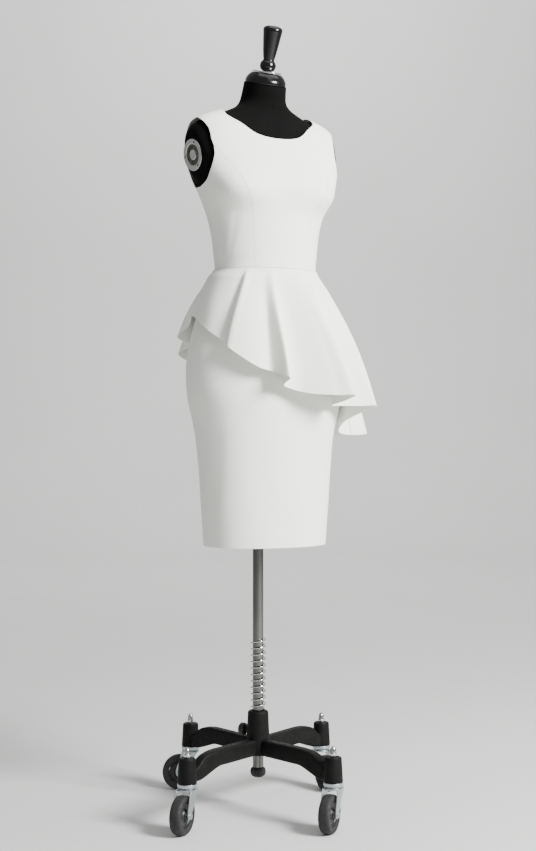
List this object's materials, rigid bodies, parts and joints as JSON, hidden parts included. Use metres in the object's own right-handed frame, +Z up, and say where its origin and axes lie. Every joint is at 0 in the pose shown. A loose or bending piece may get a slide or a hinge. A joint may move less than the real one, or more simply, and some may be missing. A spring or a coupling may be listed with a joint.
{
  "type": "peplum sheath dress on a wheeled dress form",
  "caption": "Sleeveless knee-length sheath dress with a draped asymmetric peplum, on a limbless padded form, pole and caster base.",
  "frame": {"origin": "on the floor under the middle of the whole object's box; the pole's axis stands 3.7 mm towards +X and 4.9 mm towards +Y of it", "axes": "+Z up, -Y the way the dress faces, +X the form's left"},
  "size_m": [0.5171, 0.5183, 1.669],
  "materials": {
    "crepe": "matte",
    "jersey": "matte",
    "lacquer": "gloss",
    "chrome": "polished",
    "zinc": "satin",
    "casting": "matte",
    "rubber": "matte",
    "tyre": "matte",
    "nylon": "satin",
    "enamel": "gloss"
  },
  "bodies": {
    "base": {"base_casting": "casting", "spring": "chrome", "acorn_nut_left_rear": "chrome", "acorn_nut_right_rear": "chrome", "acorn_nut_right_front": "chrome", "acorn_nut_left_front": "chrome"},
    "pole": {"pole": "chrome", "pole_stopper": "rubber"},
    "form_collar": {"form_collar": "casting"},
    "form": {"bodice_front_center": "crepe", "bodice_front_side_left": "crepe", "bodice_front_side_right": "crepe", "bodice_back_left": "crepe", "bodice_back_right": "crepe", "skirt_front": "crepe", "skirt_back_left": "crepe", "skirt_back_right": "crepe", "peplum_front": "crepe", "peplum_back_left": "crepe", "peplum_back_right": "crepe", "zip_slider": "enamel", "torso": "jersey", "neck_cap": "lacquer", "neck_plate": "chrome", "finial": "lacquer", "arm_plate_left": "chrome", "arm_plate_right": "chrome"},
    "zip_pull": {"zip_pull": "enamel"},
    "clamp_knob": {"clamp_knob": "nylon"},
    "swivel_left_rear": {"fork_left_rear": "zinc", "bearing_ring_left_rear": "zinc", "axle_left_rear": "zinc"},
    "roll_left_rear": {"tyre_left_rear": "tyre", "wheel_hub_left_rear": "nylon"},
    "swivel_right_rear": {"fork_right_rear": "zinc", "bearing_ring_right_rear": "zinc", "axle_right_rear": "zinc"},
    "roll_right_rear": {"tyre_right_rear": "tyre", "wheel_hub_right_rear": "nylon"},
    "swivel_right_front": {"fork_right_front": "zinc", "bearing_ring_right_front": "zinc", "axle_right_front": "zinc"},
    "roll_right_front": {"tyre_right_front": "tyre", "wheel_hub_right_front": "nylon"},
    "swivel_left_front": {"fork_left_front": "zinc", "bearing_ring_left_front": "zinc", "axle_left_front": "zinc"},
    "roll_left_front": {"tyre_left_front": "tyre", "wheel_hub_left_front": "nylon"}
  },
  "joints": [
    {"name": "pole_height", "type": "slide", "parent": "base", "child": "pole", "axis": [0, 0, 1], "range_m": [-0.055, 0.01]},
    {"name": "form_height", "type": "slide", "parent": "pole", "child": "form_collar", "axis": [0, 0, 1], "range_m": [-0.22, 0.15]},
    {"name": "form_turn", "type": "hinge", "parent": "form_collar", "child": "form", "pos_m": [0.00371, 0.00485, 0.7], "axis": [0, 0, 1], "continuous": true},
    {"name": "zip_pull_swing", "type": "hinge", "parent": "form", "child": "zip_pull", "pos_m": [0.00371, 0.06737, 1.44127], "axis": [1, 0, 0], "range_deg": [0, 150]},
    {"name": "clamp_knob_turn", "type": "hinge", "parent": "base", "child": "clamp_knob", "pos_m": [0.00371, 0.00485, 0.168], "axis": [-0.5299, 0.848, 0], "range_deg": [0, 720]},
    {"name": "caster_swivel_left_rear", "type": "hinge", "parent": "base", "child": "swivel_left_rear", "pos_m": [0.21066, 0.09058, 0.095], "axis": [0, 0, 1], "continuous": true},
    {"name": "wheel_roll_left_rear", "type": "hinge", "parent": "swivel_left_rear", "child": "roll_left_rear", "pos_m": [0.2094, 0.06661, 0.0395], "axis": [0.9986, -0.0523, 0], "continuous": true},
    {"name": "caster_swivel_right_rear", "type": "hinge", "parent": "base", "child": "swivel_right_rear", "pos_m": [-0.05615, 0.22071, 0.095], "axis": [0, 0, 1], "continuous": true},
    {"name": "wheel_roll_right_rear", "type": "hinge", "parent": "swivel_right_rear", "child": "roll_right_rear", "pos_m": [-0.07734, 0.23197, 0.0395], "axis": [-0.4695, -0.8829, 0], "continuous": true},
    {"name": "caster_swivel_right_front", "type": "hinge", "parent": "base", "child": "swivel_right_front", "pos_m": [-0.20324, -0.08087, 0.095], "axis": [0, 0, 1], "continuous": true},
    {"name": "wheel_roll_right_front", "type": "hinge", "parent": "swivel_right_front", "child": "roll_right_front", "pos_m": [-0.22162, -0.09629, 0.0395], "axis": [0.6428, -0.766, 0], "continuous": true},
    {"name": "caster_swivel_left_front", "type": "hinge", "parent": "base", "child": "swivel_left_front", "pos_m": [0.06357, -0.211, 0.095], "axis": [0, 0, 1], "continuous": true},
    {"name": "wheel_roll_left_front", "type": "hinge", "parent": "swivel_left_front", "child": "roll_left_front", "pos_m": [0.04519, -0.22643, 0.0395], "axis": [0.6428, -0.766, 0], "continuous": true}
  ]
}
